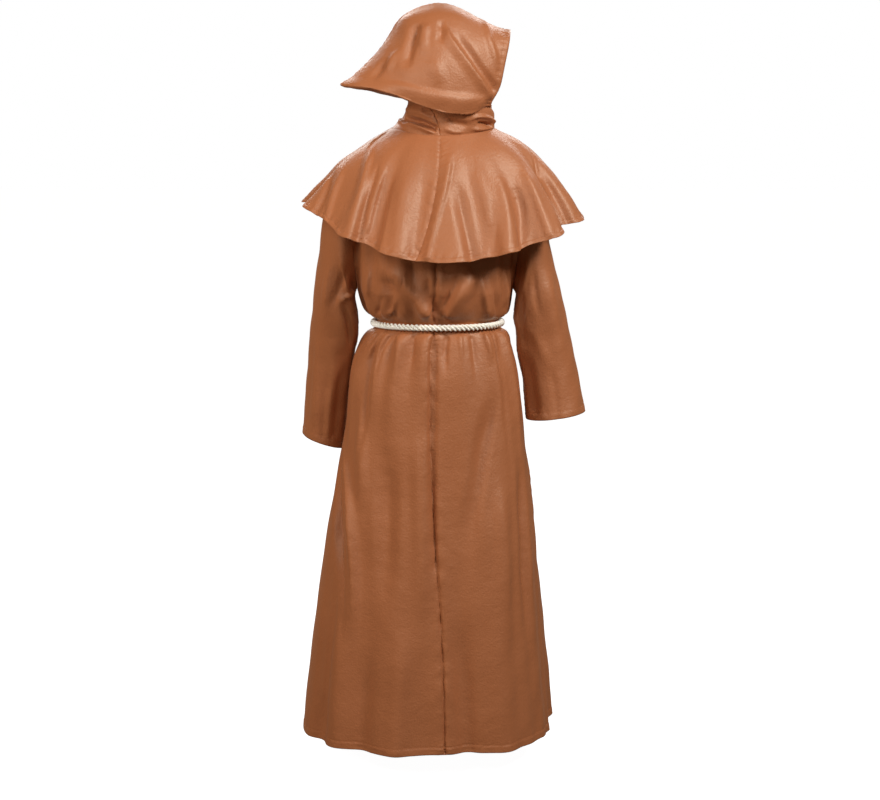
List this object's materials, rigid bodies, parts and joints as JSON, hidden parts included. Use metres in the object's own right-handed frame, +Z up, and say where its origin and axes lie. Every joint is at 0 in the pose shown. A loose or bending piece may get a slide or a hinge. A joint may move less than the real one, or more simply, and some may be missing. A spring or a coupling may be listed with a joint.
{
  "type": "monk costume",
  "caption": "Brown satin monk costume as worn: hooded shoulder cape over an ankle-length robe with wide sleeves and a cream rope belt.",
  "frame": {"origin": "middle of the neck seam, level with the tops of the shoulders, where the wearer's shoulders hold the garment up", "axes": "+Z up, -Y to the back that the picture shows, +Y to the front, +X to the garment's right side"},
  "size_m": [0.661, 0.4344, 1.6748],
  "materials": {
    "satin": "brown polyester satin with a soft sheen",
    "rope": "cream twisted cotton-like cord, matt"
  },
  "bodies": {
    "root": {"robe_back_left": "satin", "robe_back_right": "satin", "robe_front_left": "satin", "robe_front_right": "satin", "sleeve_left": "satin", "sleeve_right": "satin", "cape_left": "satin", "cape_right": "satin", "hood_left": "satin", "hood_right": "satin", "belt_ring": "rope", "belt_knot": "rope", "belt_end_left": "rope", "belt_end_right": "rope", "end_knot_left": "rope", "end_knot_right": "rope"}
  },
  "joints": []
}
